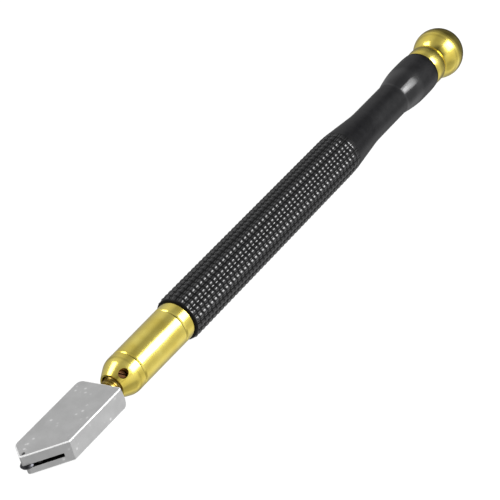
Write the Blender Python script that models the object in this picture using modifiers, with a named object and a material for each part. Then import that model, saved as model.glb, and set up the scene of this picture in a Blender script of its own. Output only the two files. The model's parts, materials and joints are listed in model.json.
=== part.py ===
"""Pencil-shaped, oil-fed glass cutter with a wide straight-edge head.

The tool lies along X: the cutting wheel is at -X and the ball cap at +X. Stations are
distances along the tool from a datum just ahead of the wheel. Every piece hangs from the empty
"tool_axis", whose own Z runs along the tool, so turned profiles are (station, radius) pairs.
"""
import math

import bmesh
import bpy
from mathutils import Matrix, Vector

MM = 0.001
MERGE = 0.00001

# facets around a turned piece
SEG_LARGE = 40
SEG_SMALL = 32
SEG_PIN = 24
SEG_WHEEL = 48
SEG_OIL_HOLE = 12
SEG_RING_WIRE = 10

# clearances
RUN_GAP = 0.06 * MM
PRESS_GAP = 0.05 * MM
SEAM_GAP = 0.15 * MM
REST_GAP = 0.3 * MM
THREAD_GAP = 0.08 * MM

# how far a cutter reaches past what it cuts, and the size an empty is drawn at
CUT_OVER = 4.0 * MM
EMPTY_SIZE = 4.0 * MM

# edges flatter than the first angle are merged, and edges sharper than the second are broken
FLAT_ANGLE = math.radians(1)
SHARP_ANGLE = math.radians(60)

# ball cap
BALL_R = 6.32 * MM
BALL_X = 172.10 * MM
BALL_FRONT_X = 167.65 * MM
BALL_FRONT_R = 4.40 * MM
BALL_FRONT_STEPS = 4
BALL_REAR_STEPS = 9
CAP_NECK_R = 2.97 * MM
CAP_STUB_R = 2.90 * MM
CAP_STUB_END_X = 156.60 * MM
CAP_STUB_CHAMFER = 0.45 * MM
CAP_UNDERCUT_R = 2.45 * MM
CAP_UNDERCUT_X = 162.60 * MM
CAP_UNDERCUT_END_X = 163.60 * MM
CAP_RING_X = 166.95 * MM
CAP_RING_MEAN_R = 3.52 * MM
CAP_RING_WIRE_R = 0.42 * MM


# head plate
PLATE_THICK = 4.80 * MM
PLATE_OFFSET = 0.35 * MM
PLATE_LOW_V = -5.80 * MM
PLATE_HIGH_V = 5.50 * MM
PLATE_TOP_X = 26.36 * MM
PLATE_APEX_X = 0.88 * MM
PLATE_APEX_V = -1.92 * MM
PLATE_LOW_X = 4.08 * MM
PLATE_HIGH_X = 8.24 * MM
PLATE_TOP_ROUND = 1.30 * MM
PLATE_LOW_ROUND = 1.40 * MM
PLATE_TIP_ROUND = 0.45 * MM
PLATE_SIDE_ROUND = 0.30 * MM
PLATE_EDGE_BEVEL = 0.20 * MM
PLATE_ROLL = math.radians(163.3)
SLOT_WIDTH = 0.86 * MM
SLOT_DEPTH = 3.00 * MM
SLOT_SHORT_OF_CORNER = 1.80 * MM
CHEEK_SETBACK = 0.55 * MM
PLATE_STEM_HOLE_R = 1.50 * MM
PLATE_STEM_HOLE_X = 18.60 * MM
PLATE_OIL_HOLE_R = 0.50 * MM

# cutting wheel and its axle
WHEEL_R = 1.55 * MM
WHEEL_X = 2.21 * MM
WHEEL_V = -1.87 * MM
WHEEL_THICK = 0.74 * MM
WHEEL_BEVEL_R = 1.33 * MM
WHEEL_BORE_R = 0.42 * MM
AXLE_R = 0.36 * MM
AXLE_LENGTH = 4.60 * MM
AXLE_CHAMFER = 0.08 * MM

WHEEL_LOW_X = WHEEL_X - WHEEL_R
BALL_REAR_X = BALL_X + BALL_R
MID_X = (WHEEL_LOW_X + BALL_REAR_X) / 2
AXIS_Z = BALL_R

# head stem
STEM_R = 2.34 * MM
STEM_SHOULDER_R = 2.12 * MM
STEM_SPIGOT_R = 1.42 * MM
STEM_FRONT_X = 19.00 * MM
STEM_SHOULDER_X = PLATE_TOP_X + SEAM_GAP
STEM_GROOVE_R = 1.80 * MM
STEM_GROOVE_XS = (27.20 * MM, 28.10 * MM)
STEM_GROOVE_WIDTH = 0.42 * MM
STEM_GROOVE_FLANK = 0.12 * MM
STEM_STEP_X = 29.00 * MM
STEM_TRAVEL = 0.80 * MM
STEM_END_X = 36.20 * MM
STEM_OIL_R = 0.60 * MM
STEM_CHAMFER = 0.25 * MM
KEEPER_FLOOR_R = 1.60 * MM
STEM_RING_X = 33.90 * MM
STEM_RING_MEAN_R = 1.90 * MM
STEM_RING_WIRE_R = 0.45 * MM
STEM_RING_FLOOR_R = 1.40 * MM
STEM_RING_HALF_WIDTH = 0.60 * MM
STEM_SLOT_WIDTH = 0.60 * MM
STEM_SLOT_DEPTH = 0.50 * MM

# nose piece
NOSE_FRONT_X = 29.05 * MM
NOSE_FRONT_R = 2.98 * MM
NOSE_CREASE_X = 31.95 * MM
NOSE_CREASE_R = 4.41 * MM
NOSE_FULL_X = 33.60 * MM
NOSE_R = 4.68 * MM
NOSE_REAR_X = 34.75 * MM
NOSE_DOME_STEPS = 4
NOSE_DOME_BULGE = 0.10
NOSE_SHOULDER_STEPS = 3
NOSE_MOUTH_R = 2.62 * MM
NOSE_MOUTH_DEPTH = 0.60 * MM
NOSE_BORE_R = STEM_R + RUN_GAP
NOSE_SPIGOT_R = 3.90 * MM
NOSE_SPIGOT_END_X = 39.50 * MM
NOSE_CHAMBER_R = 2.90 * MM
NOSE_CHAMBER_X = 36.60 * MM
EDGE_BREAK = 0.15 * MM

# set screw that keeps the stem in the nose
SCREW_X = 30.75 * MM
SCREW_AZIMUTH = math.radians(206.7)
SCREW_HOLE_R = 1.05 * MM
SCREW_HOLE_FOOT_R = 1.00 * MM
SCREW_R = 0.99 * MM
SCREW_DOG_R = 0.45 * MM
SCREW_BODY_FOOT_R = 2.55 * MM
SCREW_DOG_TIP_R = 1.75 * MM
SCREW_TOP_R = 3.20 * MM
SCREW_SLOT_WIDTH = 0.35 * MM
SCREW_SLOT_DEPTH = 0.30 * MM
SCREW_SLOT_TURN = math.radians(34)
SCREW_CHAMFER = 0.12 * MM

# valve body
BODY_FRONT_R = 4.67 * MM
BODY_REAR_R = 4.74 * MM
BODY_FRONT_X = NOSE_REAR_X + SEAM_GAP
BODY_REAR_X = 50.05 * MM
BODY_SOCKET_R = NOSE_SPIGOT_R + PRESS_GAP
BODY_SOCKET_END_X = 41.10 * MM
BODY_CHAMBER_R = 3.00 * MM
BODY_CHAMBER_END_X = 50.20 * MM
BODY_SPIGOT_R = 3.60 * MM
BODY_SPIGOT_END_X = 60.40 * MM
BODY_OIL_R = 2.40 * MM

# valve pieces
SEAT_FRONT_X = 39.80 * MM
SEAT_REAR_X = 40.95 * MM
SEAT_BORE_R = 1.50 * MM
SEAT_CONE_X = 40.40 * MM
SEAT_CONE_R = 2.15 * MM
ROD_TIP_GAP = 0.10 * MM
ROD_TIP_X = STEM_END_X + ROD_TIP_GAP
ROD_PIN_R = 0.80 * MM
ROD_CONE_X = 40.45 * MM
ROD_CONE_FRONT_R = 1.25 * MM
ROD_HEAD_X = 41.35 * MM
ROD_HEAD_R = 2.20 * MM
ROD_HEAD_END_X = 42.30 * MM
ROD_PILOT_R = 1.15 * MM
ROD_PILOT_END_X = 43.60 * MM
ROD_TAIL_R = 0.70 * MM
ROD_TAIL_END_X = 51.20 * MM
WASHER_FRONT_X = 49.35 * MM
WASHER_REAR_X = 49.90 * MM
WASHER_R = 2.90 * MM
WASHER_BORE_R = 0.95 * MM
SPRING_FRONT_X = 42.60 * MM
SPRING_REAR_X = 49.05 * MM
SPRING_MEAN_R = 1.75 * MM
SPRING_WIRE_R = 0.20 * MM
SPRING_TURNS = 6.0
SPRING_POINTS_PER_TURN = 10

# collars and inserts
COLLAR_FRONT_X = 50.22 * MM
COLLAR_REAR_X = 53.10 * MM
COLLAR_R = 4.74 * MM
COLLAR_BORE_R = BODY_SPIGOT_R + PRESS_GAP
INSERT_R = 4.30 * MM
INSERT_FRONT_X = 53.55 * MM
INSERT_REAR_X = 63.80 * MM
INSERT_BORE_R = BODY_SPIGOT_R + PRESS_GAP
WICK_R = 2.30 * MM
WICK_FRONT_X = 53.00 * MM
WICK_REAR_X = 59.80 * MM
BUSH_R = 3.95 * MM
BUSH_FRONT_X = 150.60 * MM
BUSH_REAR_X = 162.75 * MM
BUSH_BORE_R = CAP_STUB_R + THREAD_GAP
RING_FRONT_X = 163.15 * MM
RING_WAIST_R = 4.87 * MM
RING_FLARE_R = 5.02 * MM
RING_FLARE_X = 166.70 * MM
RING_REAR_X = 167.45 * MM
RING_BORE_R = 3.08 * MM
RING_SEAT_R = 4.05 * MM
RING_SEAT_X = 166.40 * MM

# handle
HANDLE_FRONT_X = 53.20 * MM
HANDLE_LIP_R = 4.80 * MM
HANDLE_LIP_LENGTH = 1.10 * MM
GRIP_R = 5.55 * MM
GRIP_END_X = 121.70 * MM
WAIST_X = 134.40 * MM
WAIST_R = 4.30 * MM
BULB_X = 148.60 * MM
BULB_FULL_X = 156.40 * MM
BULB_R = 5.27 * MM
BULB_ROUND_X = 160.60 * MM
HANDLE_REAR_X = 163.00 * MM
HANDLE_REAR_R = 4.90 * MM
BULB_STEPS = 6
ROUND_STEPS = 3
TAPER_FILLET = 1.60 * MM
HANDLE_BORE_R = 3.20 * MM
FRONT_POCKET_R = INSERT_R + PRESS_GAP
FRONT_POCKET_X = 64.10 * MM
REAR_POCKET_R = BUSH_R + PRESS_GAP
REAR_POCKET_X = 150.30 * MM


def clear_scene():
    for old in list(bpy.data.objects):
        bpy.data.objects.remove(old, do_unlink=True)


def make_collection(name):
    collection = bpy.data.collections.new(name)
    bpy.context.scene.collection.children.link(collection)
    return collection


def make_material(name, colour, roughness, metallic):
    material = bpy.data.materials.new(name)
    material.use_nodes = True
    shader = material.node_tree.nodes["Principled BSDF"]
    shader.inputs["Base Color"].default_value = (*colour, 1.0)
    shader.inputs["Roughness"].default_value = roughness
    shader.inputs["Metallic"].default_value = metallic
    return material


def move_to(obj, collection):
    for old in list(obj.users_collection):
        old.objects.unlink(obj)
    collection.objects.link(obj)


def add_empty(name, parent, location, rotation):
    empty = bpy.data.objects.new(name, None)
    empty.empty_display_size = EMPTY_SIZE
    empty.location = location
    empty.rotation_euler = rotation
    empty.parent = parent
    PARTS.objects.link(empty)
    return empty


def arc(centre_x, radius, start, end, steps):
    """Stations and radii along a circle centred on the tool axis."""
    points = []
    for i in range(steps + 1):
        angle = start + (end - start) * i / steps
        points.append((centre_x + radius * math.cos(angle), radius * math.sin(angle)))
    return points


def turned(name, outer, inner, material, segments, origin_x=MID_X, parent=None):
    """A turned piece. Both sides are listed from front to rear; inner is None when solid."""
    loop = list(reversed(outer))
    if inner:
        loop += inner
    mesh = bpy.data.meshes.new(name)
    verts = [(radius, 0.0, station - origin_x) for station, radius in loop]
    edges = [(i, i + 1) for i in range(len(verts) - 1)]
    if inner:
        edges.append((len(verts) - 1, 0))
    mesh.from_pydata(verts, edges, [])
    mesh.materials.append(material)
    obj = bpy.data.objects.new(name, mesh)
    PARTS.objects.link(obj)
    screw = obj.modifiers.new("turn", "SCREW")
    screw.axis = "Z"
    screw.angle = math.tau
    screw.steps = segments
    screw.render_steps = segments
    screw.use_merge_vertices = True
    screw.merge_threshold = MERGE
    screw.use_smooth_shade = True
    obj.parent = parent or TOOL
    obj.location = (0.0, 0.0, origin_x - MID_X) if parent is None else (0.0, 0.0, 0.0)
    return obj


def cut(obj, cutter):
    boolean = obj.modifiers.new("cut " + cutter.name, "BOOLEAN")
    boolean.operation = "DIFFERENCE"
    boolean.solver = "EXACT"
    boolean.object = cutter


def as_cutter(obj, name):
    obj.name = name
    obj.hide_render = True
    obj.display_type = "WIRE"
    move_to(obj, CUTTERS)
    return obj


def cylinder_cutter(name, radius, low, high, parent, location, rotation, segments):
    """A round cutter from low to high along its own Z, measured from its origin."""
    bm = bmesh.new()
    bmesh.ops.create_cone(
        bm,
        cap_ends=True,
        segments=segments,
        radius1=radius,
        radius2=radius,
        depth=high - low,
        matrix=Matrix.Translation((0.0, 0.0, (low + high) / 2)),
    )
    mesh = bpy.data.meshes.new(name)
    bm.to_mesh(mesh)
    bm.free()
    obj = bpy.data.objects.new(name, mesh)
    PARTS.objects.link(obj)
    obj.parent = parent
    obj.location = location
    obj.rotation_euler = rotation
    return as_cutter(obj, name)


def box_cutter(name, size, parent, location, rotation):
    bm = bmesh.new()
    bmesh.ops.create_cube(bm, size=1.0, matrix=Matrix.Diagonal((*size, 1.0)))
    mesh = bpy.data.meshes.new(name)
    bm.to_mesh(mesh)
    bm.free()
    obj = bpy.data.objects.new(name, mesh)
    PARTS.objects.link(obj)
    obj.parent = parent
    obj.location = location
    obj.rotation_euler = rotation
    return as_cutter(obj, name)


def o_ring(name, mean_r, wire_r, station, material):
    bpy.ops.mesh.primitive_torus_add(
        major_radius=mean_r,
        minor_radius=wire_r,
        major_segments=SEG_SMALL,
        minor_segments=SEG_RING_WIRE,
    )
    ring = bpy.context.object
    ring.name = name
    ring.data.name = name
    ring.data.materials.append(material)
    ring.data.shade_smooth()
    move_to(ring, PARTS)
    ring.parent = TOOL
    ring.location = (0.0, 0.0, station - MID_X)
    return ring


def rounded_outline(corners):
    """A closed outline whose corners, given as (v, station, radius, steps), are rounded."""
    points = []
    count = len(corners)
    for i, (v, station, radius, steps) in enumerate(corners):
        here = Vector((v, station))
        before = Vector(corners[i - 1][:2]) - here
        after = Vector(corners[(i + 1) % count][:2]) - here
        before.normalize()
        after.normalize()
        half = math.acos(max(-1.0, min(1.0, before.dot(after)))) / 2
        centre = here + (before + after).normalized() * radius / math.sin(half)
        start = here + before * radius / math.tan(half) - centre
        end = here + after * radius / math.tan(half) - centre
        sweep = math.atan2(start.x * end.y - start.y * end.x, start.dot(end))
        for k in range(steps + 1):
            angle = sweep * k / steps
            turn = Matrix.Rotation(angle, 2)
            points.append(centre + turn @ start)
    return points


clear_scene()
PARTS = make_collection("pencil_glass_cutter")
CUTTERS = make_collection("cutters")

STEEL = make_material("plate_steel", (0.43, 0.43, 0.44), 0.42, 1.0)
CARBIDE = make_material("carbide", (0.20, 0.20, 0.21), 0.30, 1.0)
PIN_STEEL = make_material("pin_steel", (0.12, 0.12, 0.13), 0.40, 1.0)
SPRING_STEEL = make_material("spring_steel", (0.55, 0.55, 0.57), 0.25, 1.0)
BRASS = make_material("brass", (0.72, 0.60, 0.16), 0.18, 1.0)
SCREW_BRASS = make_material("screw_brass", (0.45, 0.28, 0.12), 0.35, 1.0)
BLACK = make_material("black_plastic", (0.012, 0.012, 0.014), 0.22, 0.0)
RUBBER = make_material("nitrile", (0.015, 0.015, 0.015), 0.60, 0.0)
SEAT_PLASTIC = make_material("valve_plastic", (0.80, 0.80, 0.76), 0.45, 0.0)
FELT = make_material("felt", (0.78, 0.74, 0.66), 0.95, 0.0)

TOOL = add_empty("tool_axis", None, (0.0, 0.0, AXIS_Z), (0.0, math.pi / 2, 0.0))
HEAD = add_empty("head_axis", TOOL, (0.0, 0.0, -MID_X), (0.0, 0.0, PLATE_ROLL))

# In the head's frame X is the plate's thickness, Y its width and Z the station.
# Turning by ACROSS lays a piece's own Z along the thickness, and its Y along the stations.
ACROSS = (math.pi / 2, 0.0, math.pi / 2)
ORIGIN = (0.0, 0.0, 0.0)


def make_head_plate():
    corners = [
        (PLATE_LOW_V, PLATE_TOP_X, PLATE_TOP_ROUND, 4),
        (PLATE_LOW_V, PLATE_LOW_X, PLATE_LOW_ROUND, 3),
        (PLATE_APEX_V, PLATE_APEX_X, PLATE_TIP_ROUND, 3),
        (PLATE_HIGH_V, PLATE_HIGH_X, PLATE_SIDE_ROUND, 2),
        (PLATE_HIGH_V, PLATE_TOP_X, PLATE_TOP_ROUND, 4),
    ]
    points = rounded_outline(corners)
    curve = bpy.data.curves.new("plate_outline", "CURVE")
    curve.dimensions = "2D"
    curve.fill_mode = "BOTH"
    curve.extrude = PLATE_THICK / 2
    spline = curve.splines.new("POLY")
    spline.points.add(len(points) - 1)
    for slot, point in zip(spline.points, points):
        slot.co = (point.x, point.y, 0.0, 1.0)
    spline.use_cyclic_u = True
    outline = bpy.data.objects.new("plate_outline", curve)
    outline.parent = HEAD
    outline.rotation_euler = ACROSS
    PARTS.objects.link(outline)
    bpy.context.view_layer.update()
    evaluated = outline.evaluated_get(bpy.context.evaluated_depsgraph_get())
    mesh = bpy.data.meshes.new_from_object(evaluated)
    bm = bmesh.new()
    bm.from_mesh(mesh)
    bmesh.ops.remove_doubles(bm, verts=bm.verts, dist=MERGE)
    bmesh.ops.recalc_face_normals(bm, faces=bm.faces)
    bmesh.ops.dissolve_limit(bm, angle_limit=FLAT_ANGLE, verts=bm.verts, edges=bm.edges)
    bm.to_mesh(mesh)
    bm.free()
    mesh.name = "head_plate"
    mesh.materials.clear()
    mesh.materials.append(STEEL)
    plate = bpy.data.objects.new("head_plate", mesh)
    PARTS.objects.link(plate)
    plate.parent = HEAD
    plate.location = (PLATE_OFFSET, 0.0, 0.0)
    plate.rotation_euler = ACROSS
    bpy.data.objects.remove(outline)
    bevel = plate.modifiers.new("edges", "BEVEL")
    bevel.width = PLATE_EDGE_BEVEL
    bevel.segments = 2
    bevel.limit_method = "ANGLE"
    bevel.angle_limit = SHARP_ANGLE
    # the wheel's slot follows the long slant and runs out through the tip
    slant = Vector((PLATE_HIGH_V - PLATE_APEX_V, PLATE_HIGH_X - PLATE_APEX_X))
    slant_length = slant.length
    slant.normalize()
    inward = Vector((-slant.y, slant.x))
    slot_length = slant_length - SLOT_SHORT_OF_CORNER + CUT_OVER
    centre = Vector((PLATE_APEX_V, PLATE_APEX_X))
    centre += slant * (slot_length / 2 - CUT_OVER)
    centre += inward * (SLOT_DEPTH - CUT_OVER) / 2
    slot_size = (SLOT_WIDTH, slot_length, SLOT_DEPTH + CUT_OVER)
    slot_turn = (math.atan2(slant.y, slant.x), 0.0, 0.0)
    slot = box_cutter("slot_cut", slot_size, HEAD, (0.0, centre.x, centre.y), slot_turn)
    cut(plate, slot)
    # behind the slot the short slant is set back, which leaves the wheel in view
    short = Vector((PLATE_LOW_V - PLATE_APEX_V, PLATE_LOW_X - PLATE_APEX_X))
    short_length = short.length
    short.normalize()
    outward = Vector((-short.y, short.x))
    centre = Vector((PLATE_APEX_V, PLATE_APEX_X))
    centre += short * short_length / 2
    centre += outward * (CUT_OVER / 2 - CHEEK_SETBACK)
    cheek_size = (CUT_OVER, short_length + 2 * CUT_OVER, CUT_OVER)
    cheek_turn = (math.atan2(short.y, short.x), 0.0, 0.0)
    cheek_x = -(SLOT_WIDTH + CUT_OVER) / 2
    cheek = box_cutter("cheek_cut", cheek_size, HEAD, (cheek_x, centre.x, centre.y), cheek_turn)
    cut(plate, cheek)
    reach = PLATE_THICK
    hole_r = AXLE_R + PRESS_GAP
    spot = (0.0, WHEEL_V, WHEEL_X)
    cut(plate, cylinder_cutter("pin_cut", hole_r, -reach, reach, HEAD, spot, ACROSS, SEG_PIN))
    foot = PLATE_STEM_HOLE_X
    top = PLATE_TOP_X + CUT_OVER
    hole_r = PLATE_STEM_HOLE_R
    cut(plate, cylinder_cutter("stem_cut", hole_r, foot, top, HEAD, ORIGIN, ORIGIN, SEG_PIN))
    foot = PLATE_APEX_X + SLOT_DEPTH
    hole_r = PLATE_OIL_HOLE_R
    cut(plate, cylinder_cutter("oil_cut", hole_r, foot, top, HEAD, ORIGIN, ORIGIN, SEG_OIL_HOLE))


def make_wheel():
    half = WHEEL_THICK / 2
    outer = [(-half, WHEEL_BEVEL_R), (0.0, WHEEL_R), (half, WHEEL_BEVEL_R)]
    inner = [(-half, WHEEL_BORE_R), (half, WHEEL_BORE_R)]
    wheel = turned("cutting_wheel", outer, inner, CARBIDE, SEG_WHEEL, 0.0, HEAD)
    wheel.location = (0.0, WHEEL_V, WHEEL_X)
    wheel.rotation_euler = ACROSS
    half = AXLE_LENGTH / 2
    outer = [
        (-half, 0.0),
        (-half, AXLE_R - AXLE_CHAMFER),
        (-half + AXLE_CHAMFER, AXLE_R),
        (half - AXLE_CHAMFER, AXLE_R),
        (half, AXLE_R - AXLE_CHAMFER),
        (half, 0.0),
    ]
    axle = turned("wheel_axle", outer, None, PIN_STEEL, SEG_PIN, 0.0, HEAD)
    axle.location = (PLATE_OFFSET, WHEEL_V, WHEEL_X)
    axle.rotation_euler = ACROSS


def make_stem():
    outer = [
        (STEM_FRONT_X, STEM_SPIGOT_R - STEM_CHAMFER),
        (STEM_FRONT_X + STEM_CHAMFER, STEM_SPIGOT_R),
        (STEM_SHOULDER_X, STEM_SPIGOT_R),
        (STEM_SHOULDER_X, STEM_SHOULDER_R),
    ]
    for start in STEM_GROOVE_XS:
        end = start + STEM_GROOVE_WIDTH
        outer.append((start, STEM_SHOULDER_R))
        outer.append((start + STEM_GROOVE_FLANK, STEM_GROOVE_R))
        outer.append((end - STEM_GROOVE_FLANK, STEM_GROOVE_R))
        outer.append((end, STEM_SHOULDER_R))
    keeper_front = SCREW_X - SCREW_DOG_R - STEM_TRAVEL - RUN_GAP
    keeper_rear = SCREW_X + SCREW_DOG_R + RUN_GAP
    ring_front = STEM_RING_X - STEM_RING_HALF_WIDTH
    ring_rear = STEM_RING_X + STEM_RING_HALF_WIDTH
    outer += [
        (STEM_STEP_X, STEM_SHOULDER_R),
        (STEM_STEP_X + STEM_CHAMFER, STEM_R),
        (keeper_front, STEM_R),
        (keeper_front, KEEPER_FLOOR_R),
        (keeper_rear, KEEPER_FLOOR_R),
        (keeper_rear, STEM_R),
        (ring_front, STEM_R),
        (ring_front, STEM_RING_FLOOR_R),
        (ring_rear, STEM_RING_FLOOR_R),
        (ring_rear, STEM_R),
        (STEM_END_X - STEM_CHAMFER, STEM_R),
        (STEM_END_X, STEM_R - STEM_CHAMFER),
    ]
    inner = [(STEM_FRONT_X, STEM_OIL_R), (STEM_END_X, STEM_OIL_R)]
    stem = turned("head_stem", outer, inner, BRASS, SEG_SMALL, PLATE_TOP_X)
    slot_size = (STEM_SLOT_WIDTH, 4 * STEM_R, 2 * STEM_SLOT_DEPTH)
    spot = (0.0, 0.0, STEM_END_X - MID_X)
    slot = box_cutter("oil_slot_cut", slot_size, TOOL, spot, (0.0, 0.0, PLATE_ROLL))
    cut(stem, slot)
    o_ring("stem_o_ring", STEM_RING_MEAN_R, STEM_RING_WIRE_R, STEM_RING_X, RUBBER)


def make_nose():
    outer = []
    for i in range(NOSE_DOME_STEPS + 1):
        part = i / NOSE_DOME_STEPS
        rise = part + NOSE_DOME_BULGE * part * (1 - part)
        station = NOSE_FRONT_X + (NOSE_CREASE_X - NOSE_FRONT_X) * part
        outer.append((station, NOSE_FRONT_R + (NOSE_CREASE_R - NOSE_FRONT_R) * rise))
    for i in range(1, NOSE_SHOULDER_STEPS + 1):
        part = i / NOSE_SHOULDER_STEPS
        station = NOSE_CREASE_X + (NOSE_FULL_X - NOSE_CREASE_X) * part
        outer.append((station, NOSE_R - (NOSE_R - NOSE_CREASE_R) * (1 - part) ** 2))
    outer += [
        (NOSE_REAR_X - EDGE_BREAK, NOSE_R),
        (NOSE_REAR_X, NOSE_R - EDGE_BREAK),
        (NOSE_REAR_X, NOSE_SPIGOT_R),
        (NOSE_SPIGOT_END_X - REST_GAP, NOSE_SPIGOT_R),
        (NOSE_SPIGOT_END_X, NOSE_SPIGOT_R - REST_GAP),
    ]
    inner = [
        (NOSE_FRONT_X, NOSE_MOUTH_R),
        (NOSE_FRONT_X + NOSE_MOUTH_DEPTH, NOSE_BORE_R),
        (NOSE_CHAMBER_X, NOSE_BORE_R),
        (NOSE_CHAMBER_X, NOSE_CHAMBER_R),
        (NOSE_SPIGOT_END_X, NOSE_CHAMBER_R),
    ]
    nose = turned("nose_piece", outer, inner, BRASS, SEG_LARGE)
    spot = (0.0, 0.0, SCREW_X - MID_X)
    aim = (0.0, math.pi / 2, SCREW_AZIMUTH)
    foot = SCREW_HOLE_FOOT_R
    top = NOSE_R + CUT_OVER
    cut(nose, cylinder_cutter("screw_cut", SCREW_HOLE_R, foot, top, TOOL, spot, aim, SEG_PIN))
    outer = [
        (SCREW_DOG_TIP_R, 0.0),
        (SCREW_DOG_TIP_R, SCREW_DOG_R),
        (SCREW_BODY_FOOT_R, SCREW_DOG_R),
        (SCREW_BODY_FOOT_R, SCREW_R - SCREW_CHAMFER),
        (SCREW_BODY_FOOT_R + SCREW_CHAMFER, SCREW_R),
        (SCREW_TOP_R - SCREW_CHAMFER, SCREW_R),
        (SCREW_TOP_R, SCREW_R - SCREW_CHAMFER),
        (SCREW_TOP_R, 0.0),
    ]
    screw = turned("set_screw", outer, None, SCREW_BRASS, SEG_PIN, 0.0, TOOL)
    screw.location = spot
    screw.rotation_euler = aim
    slot_size = (SCREW_SLOT_WIDTH, 4 * SCREW_R, 2 * SCREW_SLOT_DEPTH)
    slot_spot = (0.0, 0.0, SCREW_TOP_R)
    slot_turn = (0.0, 0.0, SCREW_SLOT_TURN)
    cut(screw, box_cutter("driver_cut", slot_size, screw, slot_spot, slot_turn))


def make_valve():
    outer = [
        (BODY_FRONT_X, BODY_FRONT_R - EDGE_BREAK),
        (BODY_FRONT_X + EDGE_BREAK, BODY_FRONT_R),
        (BODY_REAR_X - EDGE_BREAK, BODY_REAR_R),
        (BODY_REAR_X, BODY_REAR_R - EDGE_BREAK),
        (BODY_REAR_X, BODY_SPIGOT_R),
        (BODY_SPIGOT_END_X - REST_GAP, BODY_SPIGOT_R),
        (BODY_SPIGOT_END_X, BODY_SPIGOT_R - REST_GAP),
    ]
    inner = [
        (BODY_FRONT_X, BODY_SOCKET_R),
        (BODY_SOCKET_END_X, BODY_SOCKET_R),
        (BODY_SOCKET_END_X, BODY_CHAMBER_R),
        (BODY_CHAMBER_END_X, BODY_CHAMBER_R),
        (BODY_CHAMBER_END_X, BODY_OIL_R),
        (BODY_SPIGOT_END_X, BODY_OIL_R),
    ]
    turned("valve_body", outer, inner, BRASS, SEG_LARGE)
    outer = [(SEAT_FRONT_X, NOSE_SPIGOT_R - PRESS_GAP), (SEAT_REAR_X, NOSE_SPIGOT_R - PRESS_GAP)]
    inner = [(SEAT_FRONT_X, SEAT_BORE_R), (SEAT_CONE_X, SEAT_BORE_R), (SEAT_REAR_X, SEAT_CONE_R)]
    turned("valve_seat", outer, inner, SEAT_PLASTIC, SEG_SMALL)
    outer = [
        (ROD_TIP_X, 0.0),
        (ROD_TIP_X, ROD_PIN_R),
        (ROD_CONE_X, ROD_PIN_R),
        (ROD_CONE_X, ROD_CONE_FRONT_R),
        (ROD_HEAD_X, ROD_HEAD_R),
        (ROD_HEAD_END_X, ROD_HEAD_R),
        (ROD_HEAD_END_X, ROD_PILOT_R),
        (ROD_PILOT_END_X, ROD_PILOT_R),
        (ROD_PILOT_END_X + EDGE_BREAK, ROD_TAIL_R),
        (ROD_TAIL_END_X, ROD_TAIL_R),
        (ROD_TAIL_END_X, 0.0),
    ]
    turned("push_rod", outer, None, PIN_STEEL, SEG_PIN, ROD_TIP_X)
    outer = [(WASHER_FRONT_X, WASHER_R), (WASHER_REAR_X, WASHER_R)]
    inner = [(WASHER_FRONT_X, WASHER_BORE_R), (WASHER_REAR_X, WASHER_BORE_R)]
    turned("spring_washer", outer, inner, BRASS, SEG_PIN)


def make_spring():
    curve = bpy.data.curves.new("valve_spring", "CURVE")
    curve.dimensions = "3D"
    curve.bevel_depth = SPRING_WIRE_R
    curve.bevel_resolution = 2
    curve.use_fill_caps = True
    count = int(SPRING_TURNS * SPRING_POINTS_PER_TURN)
    spline = curve.splines.new("POLY")
    spline.points.add(count)
    start = SPRING_FRONT_X + SPRING_WIRE_R
    span = SPRING_REAR_X - SPRING_FRONT_X - 2 * SPRING_WIRE_R
    for i, point in enumerate(spline.points):
        angle = math.tau * SPRING_TURNS * i / count
        x = SPRING_MEAN_R * math.cos(angle)
        y = SPRING_MEAN_R * math.sin(angle)
        point.co = (x, y, start + span * i / count - MID_X, 1.0)
    curve.materials.append(SPRING_STEEL)
    spring = bpy.data.objects.new("valve_spring", curve)
    PARTS.objects.link(spring)
    spring.parent = TOOL


def make_front_fittings():
    outer = [
        (COLLAR_FRONT_X, COLLAR_R - EDGE_BREAK),
        (COLLAR_FRONT_X + EDGE_BREAK, COLLAR_R),
        (COLLAR_REAR_X - EDGE_BREAK, COLLAR_R),
        (COLLAR_REAR_X, COLLAR_R - EDGE_BREAK),
    ]
    inner = [(COLLAR_FRONT_X, COLLAR_BORE_R), (COLLAR_REAR_X, COLLAR_BORE_R)]
    turned("front_collar", outer, inner, BRASS, SEG_LARGE)
    outer = [(INSERT_FRONT_X, INSERT_R), (INSERT_REAR_X, INSERT_R)]
    inner = [(INSERT_FRONT_X, INSERT_BORE_R), (INSERT_REAR_X, INSERT_BORE_R)]
    turned("front_insert", outer, inner, BRASS, SEG_LARGE)
    outer = [
        (WICK_FRONT_X, 0.0),
        (WICK_FRONT_X, WICK_R),
        (WICK_REAR_X, WICK_R),
        (WICK_REAR_X, 0.0),
    ]
    turned("oil_wick", outer, None, FELT, SEG_PIN)


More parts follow.
